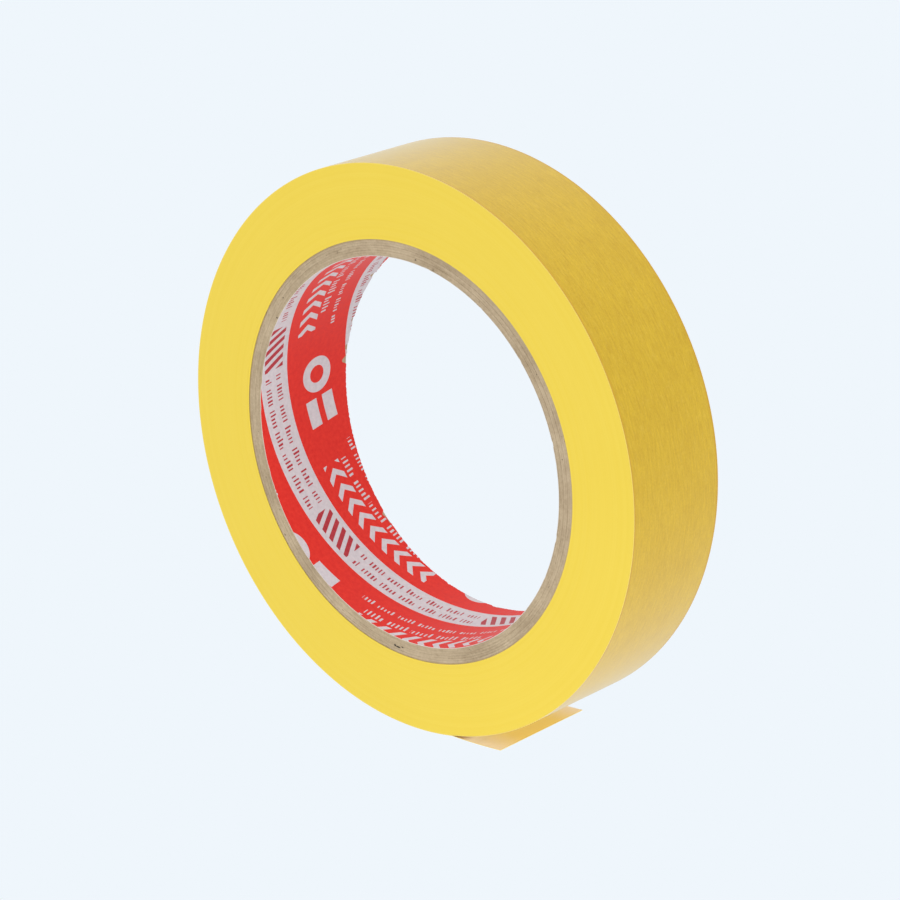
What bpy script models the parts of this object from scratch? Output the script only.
"""A roll of thin paper masking tape, standing on its rim.

Frame: origin on the roll's axis, halfway across the tape's width. The axis lies along Y, the front
face looks to -Y, and Z is up. Angles around the roll start at the bottom and grow towards +X.

The roll is a spiral-wound board core and one long strip of tape wound on it. The core is a printed
liner, six plies of board and a kraft wrap, each a strip wound once round with a slanting butt seam.
The tape's last stretch ends in a loose tab. It is cut into short pieces on hinges, so that it peels.
"""

import math

import bmesh
import bpy
from mathutils import Vector

# Driving dimensions, in metres
TAPE_WIDTH = 0.024
TAPE_THICKNESS = 0.000088
TURN_BUILD = 0.0000882        # what each turn adds to the radius
TAPE_LENGTH = 50.0
BORE_RADIUS = 0.038           # a 76 mm core
CORE_WALL = 0.0032
LINER_THICKNESS = 0.00012
WRAP_THICKNESS = 0.00015
BOARD_PLIES = 6
GLUE_LINE = 0.00005           # between two plies
TURN_CLEARANCE = 0.00005      # under the last turn, and round the core
SEAM_GAP = 0.0003             # a butt seam in the core, and the cut between two pieces of tape
HELIX_PITCH = 0.0444          # how far a ply advances along the axis in one turn

# The loose end
PEEL_ANGLE = math.radians(12.6)     # where the tab leaves the roll
TAB_LENGTH = 0.0124
TAB_LIFT = math.radians(10.6)       # between the tab's root and the roll's tangent
TAB_CURL = math.radians(4.5)        # how much the tab curls back up on its way to the tip
TAB_PIECES = 3
STRIP_PIECES = 9                    # of the stretch that is still stuck down but can be peeled

# Faceting
ROLL_SIDES = 100
SIDES_PER_STRIP = 3
CORE_SIDES = 60
FIRST_SEAM = 5                      # in core sides: where the liner's seam starts
SEAM_STAGGER = 22                   # in core sides, so that no two plies' seams lie together
TAB_SIDES = 2

CORE_RADIUS = BORE_RADIUS + CORE_WALL
ROLL_RADIUS = math.sqrt(CORE_RADIUS ** 2 + TAPE_LENGTH * TURN_BUILD / math.pi)
SIDE_ANGLE = 2 * math.pi / ROLL_SIDES
HALF = TAPE_WIDTH / 2

# name: colour, roughness
FINISHES = {
    "tape_backing": ((0.80, 0.62, 0.09), 0.55),
    "tape_edge": ((0.87, 0.68, 0.08), 0.60),
    "core_board": ((0.50, 0.40, 0.28), 0.90),
    "core_wrap": ((0.42, 0.31, 0.20), 0.85),
    "core_liner": ((0.75, 0.08, 0.05), 0.50),
}


def clear_scene():
    for old in list(bpy.data.objects):
        bpy.data.objects.remove(old, do_unlink=True)


def finish(name):
    """The Principled material called name, made once."""
    known = bpy.data.materials.get(name)
    if known:
        return known
    colour, roughness = FINISHES[name]
    made = bpy.data.materials.new(name)
    made.use_nodes = True
    shader = made.node_tree.nodes["Principled BSDF"]
    shader.inputs["Base Color"].default_value = (*colour, 1.0)
    shader.inputs["Roughness"].default_value = roughness
    shader.inputs["Metallic"].default_value = 0.0
    return made


def on_roll(radius, angle, y):
    """The point at that radius and angle, y along the axis."""
    return Vector((radius * math.sin(angle), y, -radius * math.cos(angle)))


def loft(name, sections, material, closed=False, origin=Vector()):
    """A solid through four-cornered sections: capped at both ends, or closed into a ring."""
    bm = bmesh.new()
    rings = [[bm.verts.new(point - origin) for point in section] for section in sections]
    pairs = list(zip(rings, rings[1:]))
    if closed:
        pairs.append((rings[-1], rings[0]))
    else:
        bm.faces.new(rings[0])
        bm.faces.new(rings[-1])
    for here, there in pairs:
        for i in range(4):
            j = (i + 1) % 4
            bm.faces.new((here[i], here[j], there[j], there[i]))
    bmesh.ops.recalc_face_normals(bm, faces=bm.faces)
    mesh = bpy.data.meshes.new(name)
    bm.to_mesh(mesh)
    bm.free()
    mesh.materials.append(finish(material))
    mesh.shade_smooth()
    mesh.set_sharp_from_angle(angle=math.radians(30))
    made = bpy.data.objects.new(name, mesh)
    made.location = origin
    bpy.context.collection.objects.link(made)
    return made


def round_section(inner, outer, angle, low=-HALF, high=HALF):
    """A radial cut through a ring or a ply: four corners at one angle."""
    return [
        on_roll(inner, angle, low),
        on_roll(outer, angle, low),
        on_roll(outer, angle, high),
        on_roll(inner, angle, high),
    ]


# The core

def ply(name, inner, thickness, seam_angle, material):
    """One ply of the core: a strip that goes once round, its two long edges meeting in a butt seam
    that slants across the core's width. seam_angle is where the seam starts, on the front face."""
    climb = HELIX_PITCH / CORE_SIDES
    half_gap = SEAM_GAP / 2 * math.hypot(1, climb / (inner * 2 * math.pi / CORE_SIDES))
    sections = []
    column = 1
    while True:
        near_edge = -HALF + climb * column
        high = min(HALF, near_edge - half_gap)
        low = max(-HALF, near_edge - HELIX_PITCH + half_gap)
        if low >= HALF - half_gap:
            break
        angle = seam_angle + column * 2 * math.pi / CORE_SIDES
        sections.append(round_section(inner, inner + thickness, angle, low, high))
        column += 1
    return loft(name, sections, material)


def core():
    """The printed liner, the board plies and the outer wrap, from the bore outwards."""
    lines = BOARD_PLIES + 1
    board = (CORE_WALL - LINER_THICKNESS - WRAP_THICKNESS - lines * GLUE_LINE) / BOARD_PLIES
    plies = [("core_liner_ply", LINER_THICKNESS, "core_liner")]
    plies += [(f"core_board_ply_{n}", board, "core_board") for n in range(1, BOARD_PLIES + 1)]
    plies += [("core_wrap_ply", WRAP_THICKNESS, "core_wrap")]
    inner = BORE_RADIUS
    for n, (name, thickness, material) in enumerate(plies):
        seam_angle = (FIRST_SEAM + n * SEAM_STAGGER) * 2 * math.pi / CORE_SIDES
        ply(name, inner, thickness, seam_angle, material)
        inner += thickness + GLUE_LINE


# The tape

def turn_radius(back):
    """The outer surface's radius, at an angle back from the peel line along the last turns."""
    return ROLL_RADIUS - (TAPE_THICKNESS + TURN_CLEARANCE) * back / (2 * math.pi)


def pack():
    """All the turns under the last one. Their outside is a spiral, with a step of one turn."""
    inner = CORE_RADIUS + TURN_CLEARANCE + CORE_RADIUS * (1 - math.cos(SIDE_ANGLE / 2))
    below = TAPE_THICKNESS + TURN_CLEARANCE
    ramp = SEAM_GAP / ROLL_RADIUS
    backs = [n * SIDE_ANGLE for n in range(ROLL_SIDES)] + [2 * math.pi - ramp]
    sections = [
        round_section(inner, turn_radius(back) - below, PEEL_ANGLE - back) for back in backs
    ]
    return loft("tape_pack", sections, "tape_edge", closed=True)


def stuck_tape(name, backs, origin=Vector()):
    """A stretch of the last turn, through those angles back from the peel line."""
    sections = [
        round_section(turn_radius(back) - TAPE_THICKNESS, turn_radius(back), PEEL_ANGLE - back)
        for back in backs
    ]
    return loft(name, sections, "tape_backing", origin=origin)


def side_backs(first, last):
    """Angles back from the peel line at the corners first to last, cut back a little at both."""
    cut = SEAM_GAP / 2 / ROLL_RADIUS
    inside = [n * SIDE_ANGLE for n in range(first + 1, last)]
    return [first * SIDE_ANGLE + cut] + inside + [last * SIDE_ANGLE - cut]


def outer_turn():
    """The rest of the last turn, which stays stuck to the roll up to the step that it runs under."""
    backs = side_backs(STRIP_PIECES * SIDES_PER_STRIP, ROLL_SIDES)
    backs[-1] -= SEAM_GAP / ROLL_RADIUS
    return stuck_tape("outer_turn", backs)


def tab_line():
    """The middle of the tab's thickness, in the plane of the roll: points from its root to its tip."""
    count = TAB_PIECES * TAB_SIDES
    step = TAB_LENGTH / count
    point = on_roll(ROLL_RADIUS - TAPE_THICKNESS / 2, PEEL_ANGLE, 0)
    points = [point]
    for n in range(count):
        slope = PEEL_ANGLE - TAB_LIFT + TAB_CURL * (n + 0.5) / count
        point = point + step * Vector((math.cos(slope), 0, math.sin(slope)))
        points.append(point)
    return points


def flat_section(point, along):
    """A cut across the tab: four corners, square to the way that it runs."""
    across = Vector((-along.z, 0, along.x)) * (TAPE_THICKNESS / 2)
    width = Vector((0, HALF, 0))
    return [point - across - width, point + across - width, point + across + width,
            point - across + width]


def tab_piece(name, points, origin):
    """One piece of the tab, cut back a little at its joints."""
    ways = [(b - a).normalized() for a, b in zip(points, points[1:])]
    ways = [ways[0]] + [(a + b).normalized() for a, b in zip(ways, ways[1:])] + [ways[-1]]
    cut = SEAM_GAP / 2
    line = [points[0] + cut * ways[0]] + points[1:-1] + [points[-1] - cut * ways[-1]]
    sections = [flat_section(point, way) for point, way in zip(line, ways)]
    return loft(name, sections, "tape_backing", origin=origin)


def hang(child, parent):
    """Parents child to parent, both left where they are."""
    if parent:
        child.parent = parent
        child.matrix_parent_inverse = parent.matrix_world.inverted()


def peeling_end():
    """The hinged pieces, from the one nearest the roll's stuck tape to the tab's tip."""
    parent = None
    for n in range(STRIP_PIECES):
        far = (STRIP_PIECES - n) * SIDES_PER_STRIP
        root = far * SIDE_ANGLE
        hinge = on_roll(turn_radius(root) - TAPE_THICKNESS / 2, PEEL_ANGLE - root, 0)
        backs = side_backs(far - SIDES_PER_STRIP, far)
        piece = stuck_tape(f"peel_strip_{n + 1}", backs, hinge)
        bpy.context.view_layer.update()
        hang(piece, parent)
        parent = piece
    line = tab_line()
    for n in range(TAB_PIECES):
        points = line[n * TAB_SIDES:(n + 1) * TAB_SIDES + 1]
        piece = tab_piece(f"tab_{n + 1}", points, points[0])
        bpy.context.view_layer.update()
        hang(piece, parent)
        parent = piece


clear_scene()
core()
pack()
outer_turn()
peeling_end()
